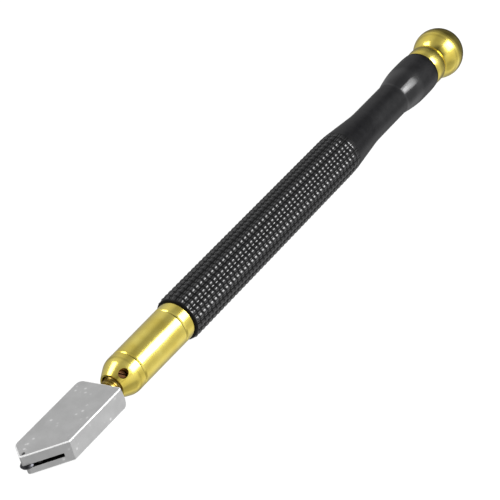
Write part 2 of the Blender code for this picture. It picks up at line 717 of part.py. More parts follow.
def make_handle():
    outer = []
    for i in range(ROUND_STEPS + 1):
        angle = math.pi / 2 * i / ROUND_STEPS
        station = HANDLE_FRONT_X + HANDLE_LIP_LENGTH * (1 - math.cos(angle))
        outer.append((station, HANDLE_LIP_R + (GRIP_R - HANDLE_LIP_R) * math.sin(angle)))
    slope = (WAIST_R - GRIP_R) / (WAIST_X - GRIP_END_X)
    for station in (GRIP_END_X - TAPER_FILLET, GRIP_END_X, GRIP_END_X + TAPER_FILLET):
        along = max(0.0, station - GRIP_END_X)
        drop = 0.0 if station < GRIP_END_X else slope * along
        ease = slope * TAPER_FILLET / 4 if station == GRIP_END_X else 0.0
        outer.append((station, GRIP_R + drop + ease))
    for station in (WAIST_X - TAPER_FILLET, WAIST_X, WAIST_X + TAPER_FILLET):
        short = min(0.0, station - WAIST_X)
        ease = -slope * TAPER_FILLET / 4 if station == WAIST_X else 0.0
        outer.append((station, WAIST_R + slope * short + ease))
    for i in range(BULB_STEPS + 1):
        part = i / BULB_STEPS
        station = BULB_X + (BULB_FULL_X - BULB_X) * part
        outer.append((station, WAIST_R + (BULB_R - WAIST_R) * math.sin(part * math.pi / 2)))
    for i in range(ROUND_STEPS + 1):
        angle = math.pi / 2 * i / ROUND_STEPS
        station = BULB_ROUND_X + (HANDLE_REAR_X - BULB_ROUND_X) * math.sin(angle)
        outer.append((station, HANDLE_REAR_R + (BULB_R - HANDLE_REAR_R) * math.cos(angle)))
    inner = [
        (HANDLE_FRONT_X, FRONT_POCKET_R),
        (FRONT_POCKET_X, FRONT_POCKET_R),
        (FRONT_POCKET_X, HANDLE_BORE_R),
        (REAR_POCKET_X, HANDLE_BORE_R),
        (REAR_POCKET_X, REAR_POCKET_R),
        (HANDLE_REAR_X, REAR_POCKET_R),
    ]
    turned("handle_shell", outer, inner, BLACK, SEG_LARGE)


def make_rear():
    outer = [(BUSH_FRONT_X, BUSH_R), (BUSH_REAR_X, BUSH_R)]
    inner = [(BUSH_FRONT_X, BUSH_BORE_R), (BUSH_REAR_X, BUSH_BORE_R)]
    turned("filler_bush", outer, inner, BRASS, SEG_LARGE)
    outer = [
        (RING_FRONT_X, RING_WAIST_R - EDGE_BREAK),
        (RING_FRONT_X + EDGE_BREAK, RING_WAIST_R),
        (RING_FLARE_X, RING_WAIST_R),
        (RING_REAR_X - EDGE_BREAK, RING_FLARE_R),
        (RING_REAR_X, RING_FLARE_R - EDGE_BREAK),
    ]
    inner = [
        (RING_FRONT_X, RING_BORE_R),
        (RING_SEAT_X, RING_BORE_R),
        (RING_SEAT_X, RING_SEAT_R),
        (RING_REAR_X, RING_SEAT_R),
    ]
    turned("rear_collar", outer, inner, BRASS, SEG_LARGE)
    o_ring("cap_o_ring", CAP_RING_MEAN_R, CAP_RING_WIRE_R, CAP_RING_X, RUBBER)
    start = math.acos((BALL_FRONT_X + EDGE_BREAK - BALL_X) / BALL_R)
    ball = arc(BALL_X, BALL_R, start, math.pi / 2, BALL_FRONT_STEPS)
    ball += arc(BALL_X, BALL_R, math.pi / 2, 0.0, BALL_REAR_STEPS)[1:-1]
    outer = [
        (CAP_STUB_END_X, 0.0),
        (CAP_STUB_END_X, CAP_STUB_R - CAP_STUB_CHAMFER),
        (CAP_STUB_END_X + CAP_STUB_CHAMFER, CAP_STUB_R),
        (CAP_UNDERCUT_X, CAP_STUB_R),
        (CAP_UNDERCUT_X, CAP_UNDERCUT_R),
        (CAP_UNDERCUT_END_X, CAP_UNDERCUT_R),
        (CAP_UNDERCUT_END_X, CAP_NECK_R),
        (BALL_FRONT_X, CAP_NECK_R),
        (BALL_FRONT_X, BALL_FRONT_R),
    ]
    outer += ball
    outer.append((BALL_REAR_X, 0.0))
    turned("ball_cap", outer, None, BRASS, SEG_LARGE, BALL_X)


make_head_plate()
make_wheel()
make_stem()
make_nose()
make_valve()
make_spring()
make_front_fittings()
make_handle()
make_rear()
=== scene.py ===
"""Studio scene of the pencil-shaped glass cutter.

The tool lies along X with its cutting wheel at -X, and lengths are in metres. Turned pieces are
profiles of (x, radius) about the tool's axis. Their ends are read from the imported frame, and the
shoulders and bores between the ends are named below.
"""
import json
import math

import bmesh
import bpy
from mathutils import Matrix, Vector


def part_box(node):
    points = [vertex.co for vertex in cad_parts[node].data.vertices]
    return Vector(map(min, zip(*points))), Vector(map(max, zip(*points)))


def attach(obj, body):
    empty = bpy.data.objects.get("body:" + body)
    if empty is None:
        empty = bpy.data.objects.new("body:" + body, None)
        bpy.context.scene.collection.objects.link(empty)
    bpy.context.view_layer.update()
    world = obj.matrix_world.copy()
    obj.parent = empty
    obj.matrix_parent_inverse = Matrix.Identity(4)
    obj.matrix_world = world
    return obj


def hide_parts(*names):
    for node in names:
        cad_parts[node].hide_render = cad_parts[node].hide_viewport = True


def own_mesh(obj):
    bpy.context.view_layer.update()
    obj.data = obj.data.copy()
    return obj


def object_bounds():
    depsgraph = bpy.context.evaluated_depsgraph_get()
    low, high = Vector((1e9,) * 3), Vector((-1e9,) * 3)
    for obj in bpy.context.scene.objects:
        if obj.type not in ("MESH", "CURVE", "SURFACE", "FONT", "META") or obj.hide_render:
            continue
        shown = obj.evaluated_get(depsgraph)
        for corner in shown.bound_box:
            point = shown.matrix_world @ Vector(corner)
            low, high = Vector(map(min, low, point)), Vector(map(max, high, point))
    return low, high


MM = 0.001

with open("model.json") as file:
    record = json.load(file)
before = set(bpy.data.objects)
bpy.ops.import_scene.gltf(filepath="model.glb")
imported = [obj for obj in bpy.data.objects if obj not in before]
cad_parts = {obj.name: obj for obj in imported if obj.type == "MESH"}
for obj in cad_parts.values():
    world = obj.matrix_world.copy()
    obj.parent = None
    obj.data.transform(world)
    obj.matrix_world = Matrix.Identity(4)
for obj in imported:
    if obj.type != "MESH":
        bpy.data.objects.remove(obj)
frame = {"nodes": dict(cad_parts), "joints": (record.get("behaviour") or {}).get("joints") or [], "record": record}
NODES = frame["nodes"]
cad_low, cad_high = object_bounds()

BALL_LOW, BALL_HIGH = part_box("ball_cap")
BALL_R = (BALL_HIGH.z - BALL_LOW.z) / 2
AXIS_Z = (BALL_HIGH.z + BALL_LOW.z) / 2
HANDLE_LOW, HANDLE_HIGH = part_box("handle_shell")

# stations, in millimetres along the tool, start at a datum just ahead of the wheel
WHEEL_LOW_STATION = 0.66
FRONT_X = cad_low.x - WHEEL_LOW_STATION * MM

# ---------------------------------------------------------------- node helpers

# the colour sockets of a Mix node
MIX_A, MIX_B, MIX_RESULT = 6, 7, 2


def colour_ramp(tree, source, stops):
    """A ramp over source whose stops are (position, colour)."""
    ramp = tree.nodes.new("ShaderNodeValToRGB")
    elements = ramp.color_ramp.elements
    while len(elements) < len(stops):
        elements.new(0.5)
    for element, (position, colour) in zip(elements, stops):
        element.position = position
        element.color = (*colour, 1.0)
    tree.links.new(source, ramp.inputs["Fac"])
    return ramp.outputs["Color"]


def grey_ramp(tree, source, stops):
    return colour_ramp(tree, source, [(position, (level,) * 3) for position, level in stops])


def multiplied(tree, first, second):
    mix = tree.nodes.new("ShaderNodeMix")
    mix.data_type = "RGBA"
    mix.blend_type = "MULTIPLY"
    mix.inputs["Factor"].default_value = 1.0
    tree.links.new(first, mix.inputs[MIX_A])
    tree.links.new(second, mix.inputs[MIX_B])
    return mix.outputs[MIX_RESULT]


class Shade:
    """A material under construction: a Principled shader and short ways to add nodes."""

    def __init__(self, name):
        self.material = bpy.data.materials.new(name)
        self.material.use_nodes = True
        self.tree = self.material.node_tree
        self.shader = self.tree.nodes["Principled BSDF"]
        self.coords = self.tree.nodes.new("ShaderNodeTexCoord").outputs["Object"]

    def set(self, **values):
        for key, value in values.items():
            self.shader.inputs[key.replace("_", " ")].default_value = value

    def link(self, source, target):
        self.tree.links.new(source, target)

    def stretch(self, scale, source=None):
        node = self.tree.nodes.new("ShaderNodeMapping")
        node.inputs["Scale"].default_value = scale
        self.link(source or self.coords, node.inputs["Vector"])
        return node.outputs["Vector"]

    def noise(self, vector, scale, detail=4.0, roughness=0.5):
        node = self.tree.nodes.new("ShaderNodeTexNoise")
        node.inputs["Scale"].default_value = scale
        node.inputs["Detail"].default_value = detail
        node.inputs["Roughness"].default_value = roughness
        self.link(vector, node.inputs["Vector"])
        return node.outputs["Fac"]

    def base_colour(self, source, stops):
        self.link(colour_ramp(self.tree, source, stops), self.shader.inputs["Base Color"])

    def roughness(self, source, low, high):
        self.link(self.span(source, low, high), self.shader.inputs["Roughness"])

    def span(self, source, low, high):
        node = self.tree.nodes.new("ShaderNodeMapRange")
        node.inputs["To Min"].default_value = low
        node.inputs["To Max"].default_value = high
        self.link(source, node.inputs["Value"])
        return node.outputs["Result"]

    def bump(self, height, strength, distance):
        node = self.tree.nodes.new("ShaderNodeBump")
        node.inputs["Strength"].default_value = strength
        node.inputs["Distance"].default_value = distance
        self.link(height, node.inputs["Height"])
        self.link(node.outputs["Normal"], self.shader.inputs["Normal"])


FINE_BUMP = 0.02 * MM
SOFT_BUMP = 0.03 * MM
# streaks are this much longer along the tool than across it
STREAK_STRETCH = (0.12, 1.0, 1.0)


def brass_material(name, light, dark, rough_low, rough_high):
    shade = Shade(name)
    shade.set(Metallic=1.0)
    streaks = shade.noise(shade.stretch(STREAK_STRETCH), 900.0, 3.0)
    cloud = shade.noise(shade.coords, 220.0, 4.0)
    shade.base_colour(cloud, [(0.30, dark), (0.70, light)])
    shade.roughness(streaks, rough_low, rough_high)
    shade.bump(streaks, 0.12, FINE_BUMP)
    return shade.material


def plate_material():
    """Satin steel with a few bright specks where its surface has been nicked."""
    shade = Shade("plate_steel")
    shade.set(Metallic=0.25, Specular_IOR_Level=0.1)
    fine = shade.noise(shade.coords, 2600.0, 3.0, 0.6)
    cloud = shade.noise(shade.coords, 300.0, 4.0)
    tone = grey_ramp(shade.tree, cloud, [(0.35, 0.37), (0.65, 0.41)])
    cells = shade.tree.nodes.new("ShaderNodeTexVoronoi")
    cells.inputs["Scale"].default_value = 620.0
    shade.link(shade.coords, cells.inputs["Vector"])
    dots = grey_ramp(shade.tree, cells.outputs["Distance"], [(0.10, 1), (0.26, 0)])
    patches = shade.noise(shade.coords, 300.0, 2.0)
    pick = grey_ramp(shade.tree, patches, [(0.50, 0), (0.60, 1)])
    speckled = shade.tree.nodes.new("ShaderNodeMix")
    speckled.data_type = "RGBA"
    shade.link(multiplied(shade.tree, dots, pick), speckled.inputs["Factor"])
    shade.link(tone, speckled.inputs[MIX_A])
    speckled.inputs[MIX_B].default_value = (0.60, 0.60, 0.60, 1.0)
    shade.link(speckled.outputs[MIX_RESULT], shade.shader.inputs["Base Color"])
    shade.roughness(fine, 0.42, 0.56)
    shade.bump(fine, 0.15, FINE_BUMP)
    return shade.material


def steel_material(name, light, dark, rough_low, rough_high, grain, metallic=1.0):
    shade = Shade(name)
    shade.set(Metallic=metallic)
    fine = shade.noise(shade.coords, grain, 3.0, 0.6)
    cloud = shade.noise(shade.coords, 260.0, 4.0)
    shade.base_colour(cloud, [(0.35, dark), (0.65, light)])
    shade.roughness(fine, rough_low, rough_high)
    shade.bump(fine, 0.15, FINE_BUMP)
    return shade.material


def plain_material(name, light, dark, rough_low, rough_high, scale, bump_strength=0.1, specular=0.5):
    shade = Shade(name)
    shade.set(Specular_IOR_Level=specular)
    cloud = shade.noise(shade.coords, scale, 4.0)
    shade.base_colour(cloud, [(0.35, dark), (0.65, light)])
    shade.roughness(cloud, rough_low, rough_high)
    shade.bump(cloud, bump_strength, SOFT_BUMP)
    return shade.material


def grey(level):
    return (level, level, level)


BRASS = brass_material("polished_brass", (0.91, 0.77, 0.19), (0.74, 0.58, 0.10), 0.13, 0.24)
# painted shade: the stem's brass is darkened to stand for the shade between the plate and the nose's mouth
STEM_BRASS_PAINTED_SHADE = brass_material("stem_brass_painted_shade", (0.56, 0.43, 0.10), (0.16, 0.10, 0.03), 0.18, 0.32)
# painted shade: the set screw is near-black brass, standing for the shade at the bottom of its hole
SCREW_BRASS_PAINTED_SHADE = brass_material("screw_brass", (0.15, 0.065, 0.03), (0.05, 0.025, 0.012), 0.35, 0.55)
PLATE_STEEL = plate_material()
# painted highlight: near-white, mostly diffuse steel on the plate's bevels, so that its edges read as bright lines
EDGE_STEEL_PAINTED_HIGHLIGHT = steel_material("edge_painted_highlight", grey(0.97), grey(0.90), 0.3, 0.42, 2600.0, metallic=0.3)
CARBIDE = steel_material("carbide", (0.10, 0.10, 0.11), (0.06, 0.06, 0.07), 0.25, 0.4, 3000.0)
# dark steel; on the plate's slot walls it is also painted shade
DARK_STEEL = steel_material("dark_steel", grey(0.10), grey(0.05), 0.3, 0.5, 3000.0)
SPRING_STEEL = steel_material("spring_steel", (0.60, 0.60, 0.62), (0.5, 0.5, 0.52), 0.2, 0.3, 3000.0)
BLACK_TONES = ((0.010, 0.010, 0.011), (0.006, 0.006, 0.007))
BLACK = plain_material("black_handle", *BLACK_TONES, 0.12, 0.19, 700.0)
BEAD_BLACK = plain_material("bead_black", *BLACK_TONES, 0.08, 0.13, 700.0, specular=0.85)
# painted shade: a darker, less glossy black for the handle's grooves, flanks, lip and rear edge
MATT_BLACK_PAINTED_SHADE = plain_material("matt_black_painted_shade", grey(0.006), grey(0.004), 0.35, 0.5, 900.0, specular=0.12)
RUBBER = plain_material("nitrile", grey(0.02), grey(0.01), 0.55, 0.7, 1500.0)
SEAT = plain_material("valve_plastic", (0.80, 0.80, 0.76), (0.72, 0.72, 0.68), 0.4, 0.5, 900.0)
FELT = plain_material("felt", (0.80, 0.76, 0.68), (0.62, 0.57, 0.48), 0.9, 1.0, 3500.0, 0.6)

# ---------------------------------------------------------------- mesh helpers


def object_from(name, bm):
    """A new object in the scene with the bmesh's faces. The bmesh is freed."""
    mesh = bpy.data.meshes.new(name)
    bm.to_mesh(mesh)
    bm.free()
    obj = bpy.data.objects.new(name, mesh)
    bpy.context.scene.collection.objects.link(obj)
    return obj


def finish_piece(obj, node, body, material, sharp=35.0):
    if material:
        obj.data.materials.append(material)
    obj.data.shade_smooth()
    obj.data.set_sharp_from_angle(angle=math.radians(sharp))
    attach(obj, body)
    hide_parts(node)
    return obj


TOOL_AXIS = Matrix.Translation((0.0, 0.0, AXIS_Z))


def turned(name, loop, angles, radius_at=None, matrix=TOOL_AXIS):
    """A closed (x, radius) loop turned about an X axis. radius_at may vary it by angle."""
    bm = bmesh.new()
    segments = len(angles)
    rings = []
    for x, radius in loop:
        if radius < 0.001 * MM:
            rings.append([bm.verts.new(matrix @ Vector((x, 0.0, 0.0)))])
            continue
        ring = []
        for angle in angles:
            r = radius_at(x, angle, radius) if radius_at else radius
            spot = Vector((x, r * math.sin(angle), r * math.cos(angle)))
            ring.append(bm.verts.new(matrix @ spot))
        rings.append(ring)
    count = len(rings)
    open_ended = len(rings[0]) == 1
    for i in range(count - 1 if open_ended else count):
        a = rings[i]
        b = rings[(i + 1) % count]
        for k in range(segments):
            n = (k + 1) % segments
            corners = [a[k % len(a)], a[n % len(a)], b[n % len(b)], b[k % len(b)]]
            unique = list(dict.fromkeys(corners))
            if len(unique) > 2:
                bm.faces.new(unique)
    bmesh.ops.recalc_face_normals(bm, faces=bm.faces)
    return object_from(name, bm)


def station(mm):
    """World x of a station."""
    return FRONT_X + mm * MM


def softened(profile, radius=0.08 * MM, steps=2):
    """The same profile with its inner corners rounded off and its long runs held straight."""
    points = [profile[0]]
    for i in range(1, len(profile) - 1):
        here = Vector(profile[i])
        before = Vector(profile[i - 1]) - here
        after = Vector(profile[i + 1]) - here
        reach = min(radius, before.length / 2.2, after.length / 2.2)
        start = here + before.normalized() * reach
        end = here + after.normalized() * reach
        for k in range(steps + 1):
            t = k / steps
            point = start * (1 - t) ** 2 + here * 2 * t * (1 - t) + end * t**2
            points.append((point.x, point.y))
    points.append(profile[-1])
    held = [points[0]]
    for point in points[1:]:
        start = Vector(held[-1])
        span = Vector(point) - start
        if span.length > 4 * radius:
            step = span.normalized() * radius
            held.append(tuple(start + step))
            held.append(tuple(Vector(point) - step))
        held.append(point)
    return held


def loop_of(outer, inner):
    return softened(outer) + list(reversed(inner))


def bool_cut(obj, cutter):
    modifier = obj.modifiers.new("cut", "BOOLEAN")
    modifier.operation = "DIFFERENCE"
    modifier.solver = "EXACT"
    modifier.object = cutter
    bpy.context.view_layer.update()
    evaluated = obj.evaluated_get(bpy.context.evaluated_depsgraph_get())
    mesh = bpy.data.meshes.new_from_object(evaluated)
    obj.modifiers.clear()
    obj.data = mesh
    bpy.data.objects.remove(cutter)


def cylinder(name, radius, low, high, matrix, segments=48):
    bm = bmesh.new()
    middle = Matrix.Translation((0.0, 0.0, (low + high) / 2))
    bmesh.ops.create_cone(
        bm,
        cap_ends=True,
        segments=segments,
        radius1=radius,
        radius2=radius,
        depth=high - low,
        matrix=matrix @ middle,
    )
    return object_from(name, bm)


def box(name, size, matrix):
    bm = bmesh.new()
    bmesh.ops.create_cube(bm, size=1.0, matrix=matrix @ Matrix.Diagonal((*size, 1.0)))
    return object_from(name, bm)


# ---------------------------------------------------------------- the handle

BEAD_ROWS = 18
BEAD_PITCH = 1.488 * MM
BEAD_FIRST_X = station(54.20)
BEAD_RINGS = 47
BEAD_DEPTH = 0.48 * MM
# a bead's outline along the tool and round it: (share of the pitch, share of the depth)
BEAD_ALONG = (
    (0.0, 1.0), (0.10, 0.62), (0.22, 0.25), (0.36, 0.07), (0.50, 0.0), (0.64, 0.07), (0.78, 0.25),
    (0.90, 0.62),
)
BEAD_ROUND = (
    (0.0, 1.0), (0.07, 0.91), (0.22, 0.60), (0.40, 0.08), (0.50, 0.0), (0.60, 0.08),
    (0.78, 0.60), (0.93, 0.91),
)
GRIP_R = (HANDLE_HIGH.z - HANDLE_LOW.z) / 2
# painted shade: darker, less glossy black in the ring grooves, on the beads' flanks, lip and rear edge
SHADED_GROOVE = 0.09
SHADED_FLANK = (0.07, 0.22)
SHADED_REAR = 0.8 * MM
# the handle's material slots after the plain black one
MATT_SHADE_SLOT, BEAD_SLOT = 1, 2
GRIP_END_X = station(121.70)
WAIST_X = station(134.40)
WAIST_R = 4.30 * MM
BULB_X = station(148.60)
BULB_FULL_X = station(156.40)
BULB_R = 5.27 * MM
BULB_ROUND_X = station(160.60)
REAR_R = 4.90 * MM
LIP_R = 4.80 * MM
LIP_LENGTH = 0.80 * MM
LIP_SMOOTH = 0.35 * MM
LIP_STEPS = 6
SMOOTH_STEP = 0.40 * MM
REAR_EDGE = 0.08 * MM
REAR_EDGE_DROP = 0.05 * MM
# the outline is averaged over this far either side: within reach of the bulb's shoulder, and
# elsewhere. It is left as it is up to that reach before the grip's end.
FAIR_SHOULDER = 0.35 * MM
FAIR_WIDE = 1.5 * MM
FAIR_REACH = 2 * MM
FAIR_SAMPLES = 4
# the beads fade out over this many pitches before the taper
FADE_PITCHES = 2.0
ALONG_SHARE = 0.34
ROUND_SHARE = 0.66
LIP_TOP_R = GRIP_R - ALONG_SHARE * BEAD_DEPTH
# a groove faces this way: about halfway between the light and the eye, from +Z towards -Y
GROOVE_ANGLE = -math.radians(36.7)
HANDLE_BORE_R = 3.20 * MM
FRONT_POCKET_R = 4.35 * MM
FRONT_POCKET_X = station(64.10)
REAR_POCKET_R = 4.00 * MM
REAR_POCKET_X = station(150.30)


def bare_radius(x):
    if x < HANDLE_LOW.x + LIP_LENGTH:
        short = 1 - max(0.0, x - HANDLE_LOW.x) / LIP_LENGTH
        return LIP_R + (LIP_TOP_R - LIP_R) * math.sqrt(1 - short**2)
    if x < GRIP_END_X:
        return GRIP_R
    if x < WAIST_X:
        return GRIP_R + (WAIST_R - GRIP_R) * (x - GRIP_END_X) / (WAIST_X - GRIP_END_X)
    if x < BULB_X:
        return WAIST_R
    if x < BULB_FULL_X:
        part = (x - BULB_X) / (BULB_FULL_X - BULB_X)
        return WAIST_R + (BULB_R - WAIST_R) * math.sin(part * math.pi / 2)
    if x < BULB_ROUND_X:
        return BULB_R
    part = min(1.0, (x - BULB_ROUND_X) / (HANDLE_HIGH.x - BULB_ROUND_X))
    return REAR_R + (BULB_R - REAR_R) * math.sqrt(max(0.0, 1 - part**2))


def smooth_radius(x):
    """The handle's outline, with its corners faired over a short length."""
    width = FAIR_SHOULDER if abs(x - BULB_X) < FAIR_REACH else FAIR_WIDE
    width = min(width, max(0.0, HANDLE_HIGH.x - x))
    if x < GRIP_END_X - FAIR_REACH:
        width = 0.0
    offsets = [width * (k / FAIR_SAMPLES - 1) for k in range(2 * FAIR_SAMPLES + 1)]
    return sum(bare_radius(x + o) for o in offsets) / len(offsets)


def bead_drop(outline, share):
    """How far the surface lies under a bead's crown, as a share of the groove's depth."""
    share = share % 1.0
    closed = (*outline, (1.0, 1.0))
    for (start, drop), (end, next_drop) in zip(closed, closed[1:]):
        if share <= end:
            return drop + (next_drop - drop) * (share - start) / (end - start)
    return 1.0


def make_handle():
    """The black moulding: a lip, square beads, then a smooth taper, waist and bulb."""
    angles = []
    for row in range(BEAD_ROWS):
        for step, _ in BEAD_ROUND:
            angles.append(GROOVE_ANGLE + math.tau * (row + step) / BEAD_ROWS)
    bead_start = BEAD_FIRST_X - BEAD_PITCH / 2
    bead_end = bead_start + BEAD_RINGS * BEAD_PITCH
    outer = []
    for k in range(LIP_STEPS):
        x = HANDLE_LOW.x + (bead_start - HANDLE_LOW.x) * (k / LIP_STEPS) ** 2
        outer.append((x, smooth_radius(x)))
    for ring in range(BEAD_RINGS):
        for step, _ in BEAD_ALONG:
            x = bead_start + (ring + step) * BEAD_PITCH
            outer.append((x, smooth_radius(x)))
    x = bead_end
    while x < HANDLE_HIGH.x - REAR_EDGE_DROP:
        outer.append((x, smooth_radius(x)))
        x += SMOOTH_STEP
    outer.append((HANDLE_HIGH.x - REAR_EDGE, REAR_R + REAR_EDGE_DROP))
    outer.append((HANDLE_HIGH.x, REAR_R - REAR_EDGE_DROP))
    inner = [
        (HANDLE_LOW.x, FRONT_POCKET_R),
        (FRONT_POCKET_X, FRONT_POCKET_R),
        (FRONT_POCKET_X, HANDLE_BORE_R),
        (REAR_POCKET_X, HANDLE_BORE_R),
        (REAR_POCKET_X, REAR_POCKET_R),
        (HANDLE_HIGH.x, REAR_POCKET_R),
    ]

    def beaded(x, angle, radius):
        if not HANDLE_LOW.x < x < bead_end or radius < LIP_R:
            return radius
        rise = (x - HANDLE_LOW.x - LIP_SMOOTH) / LIP_SMOOTH
        fall = (bead_end - x) / (FADE_PITCHES * BEAD_PITCH)
        fade = min(1.0, max(0.0, rise), max(0.0, fall))
        along = bead_drop(BEAD_ALONG, (x - bead_start) / BEAD_PITCH) if x > bead_start else 1.0
        around = bead_drop(BEAD_ROUND, (angle - GROOVE_ANGLE) / math.tau * BEAD_ROWS)
        if x < HANDLE_LOW.x + LIP_LENGTH:
            along = 0.0
        return radius - BEAD_DEPTH * (ALONG_SHARE * along + ROUND_SHARE * around) * fade

    loop = outer + list(reversed(inner))
    handle = turned("beaded_handle", loop, angles, beaded)
    for material in (BLACK, MATT_BLACK_PAINTED_SHADE, BEAD_BLACK):
        handle.data.materials.append(material)
    for face in handle.data.polygons:
        x, y, z = face.center
        radius = math.hypot(y, z - AXIS_Z)
        if radius < LIP_R:
            continue
        # the lip and the rear edge get the painted shade
        if x < bead_start or x > HANDLE_HIGH.x - SHADED_REAR:
            face.material_index = MATT_SHADE_SLOT
        elif x < bead_end:
            along = (x - bead_start) / BEAD_PITCH % 1.0
            around = (math.atan2(y, z - AXIS_Z) - GROOVE_ANGLE) / math.tau * BEAD_ROWS % 1.0
            in_groove = min(along, 1 - along) < SHADED_GROOVE
            on_flank = SHADED_FLANK[0] < min(around, 1 - around) < SHADED_FLANK[1]
            face.material_index = MATT_SHADE_SLOT if in_groove or on_flank else BEAD_SLOT
    finish_piece(handle, "handle_shell", "handle", None, 60.0)


# ---------------------------------------------------------------- brass pieces

ROUND = 128
NOSE_FRONT_R = 2.98 * MM
NOSE_R = 4.68 * MM
NOSE_CREASE_X = station(31.95)
NOSE_CREASE_R = 4.41 * MM
NOSE_FULL_X = station(33.60)
NOSE_REAR_X = station(34.75)
NOSE_STEPS = 12
NOSE_DOME_BULGE = 0.10
NOSE_MOUTH_R = 2.62 * MM
NOSE_BORE_R = 2.40 * MM
NOSE_SPIGOT_R = 3.90 * MM
NOSE_CHAMBER_R = 2.90 * MM
NOSE_CHAMBER_X = station(36.60)
NOSE_MOUTH_DEPTH = 0.6 * MM
SCREW_HOLE_FROM = 1.0 * MM
SCREW_HOLE_TO = 7.0 * MM
SCREW_HOLE_R = 1.05 * MM
EDGE_ROUND = 0.44 * MM
EDGE_DROP = 0.20 * MM


def even_angles(count):
    return [math.tau * k / count for k in range(count)]


def front_edge(x, radius):
    """Profile points of a turned piece's chamfered front edge."""
    return [(x, radius - EDGE_DROP), (x + EDGE_ROUND, radius)]


def make_nose():
    """The brass dome, with the radial hole of its set screw."""
    low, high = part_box("nose_piece")
    outer = []
    for i in range(NOSE_STEPS + 1):
        part = i / NOSE_STEPS
        rise = part + NOSE_DOME_BULGE * part * (1 - part)
        x = low.x + (NOSE_CREASE_X - low.x) * part
        outer.append((x, NOSE_FRONT_R + (NOSE_CREASE_R - NOSE_FRONT_R) * rise))
    for i in range(1, NOSE_STEPS + 1):
        part = i / NOSE_STEPS
        x = NOSE_CREASE_X + (NOSE_FULL_X - NOSE_CREASE_X) * part
        outer.append((x, NOSE_R - (NOSE_R - NOSE_CREASE_R) * (1 - part) ** 2))
    outer += [
        (NOSE_REAR_X, NOSE_R),
        (NOSE_REAR_X, NOSE_SPIGOT_R),
        (high.x, NOSE_SPIGOT_R),
    ]
    inner = [
        (low.x, NOSE_MOUTH_R),
        (low.x + NOSE_MOUTH_DEPTH, NOSE_BORE_R),
        (NOSE_CHAMBER_X, NOSE_BORE_R),
        (NOSE_CHAMBER_X, NOSE_CHAMBER_R),
        (high.x, NOSE_CHAMBER_R),
    ]
    nose = turned("turned_nose", loop_of(outer, inner), even_angles(ROUND))
    screw_low, screw_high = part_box("set_screw")
    aim = (screw_low + screw_high) / 2 - Vector(((screw_low.x + screw_high.x) / 2, 0, AXIS_Z))
    place = Matrix.Translation(((screw_low.x + screw_high.x) / 2, 0.0, AXIS_Z))
    place = place @ aim.to_track_quat("Z", "X").to_matrix().to_4x4()
    hole = cylinder("screw_hole", SCREW_HOLE_R, SCREW_HOLE_FROM, SCREW_HOLE_TO, place)
    bool_cut(nose, hole)
    finish_piece(nose, "nose_piece", "handle", BRASS, 18.0)


BODY_FRONT_R = 4.67 * MM
BODY_REAR_R = 4.74 * MM
BODY_SHOULDER_X = station(50.05)
BODY_SPIGOT_R = 3.6 * MM
BODY_FACE_R = 4.0 * MM
BODY_SOCKET_R = 3.95 * MM
BODY_SOCKET_X = station(41.10)
BODY_CHAMBER_R = 3.0 * MM
BODY_CHAMBER_X = station(50.20)
BODY_BORE_R = 2.4 * MM


def make_valve_body():
    low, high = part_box("valve_body")
    outer = [
        (low.x, BODY_FACE_R),
        *front_edge(low.x, BODY_FRONT_R),
        (BODY_SHOULDER_X, BODY_REAR_R),
        (BODY_SHOULDER_X, BODY_SPIGOT_R),
        (high.x, BODY_SPIGOT_R),
    ]
    inner = [
        (low.x, BODY_SOCKET_R),
        (BODY_SOCKET_X, BODY_SOCKET_R),
        (BODY_SOCKET_X, BODY_CHAMBER_R),
        (BODY_CHAMBER_X, BODY_CHAMBER_R),
        (BODY_CHAMBER_X, BODY_BORE_R),
        (high.x, BODY_BORE_R),
    ]
    body = turned("turned_valve_body", loop_of(outer, inner), even_angles(ROUND))
    finish_piece(body, "valve_body", "handle", BRASS, 30.0)


COLLAR_FACE_R = 4.0 * MM
COLLAR_BORE_R = 3.65 * MM


def make_front_collar():
    low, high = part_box("front_collar")
    radius = (high.z - low.z) / 2
    outer = [(low.x, COLLAR_FACE_R), *front_edge(low.x, radius)]
    outer += [(high.x, radius), (high.x, COLLAR_FACE_R)]
    inner = [(low.x, COLLAR_BORE_R), (high.x, COLLAR_BORE_R)]
    collar = turned("turned_front_collar", loop_of(outer, inner), even_angles(ROUND))
    finish_piece(collar, "front_collar", "handle", BRASS, 30.0)


STEM_R = 2.34 * MM
STEM_NECK_R = 2.12 * MM
STEM_TENON_R = 1.42 * MM
STEM_OIL_R = 0.6 * MM
STEM_END_R = 0.7 * MM
STEM_SEAM = 0.15 * MM
# two fine grooves in the neck: their stations, and the radius of their floor
NECK_GROOVES = (27.20, 28.10)
NECK_GROOVE_R = 1.80 * MM
# stations where the neck ends and where the full radius is reached
NECK_END, NECK_RISE = 29.00, 29.25
# the wide groove for the set screw and the one for the O-ring: first and last station, floor
SCREW_GROOVE = (29.44, 31.26, 1.60 * MM)
RING_GROOVE = (33.30, 34.50, 1.40 * MM)
STEM_SEGMENTS = 96


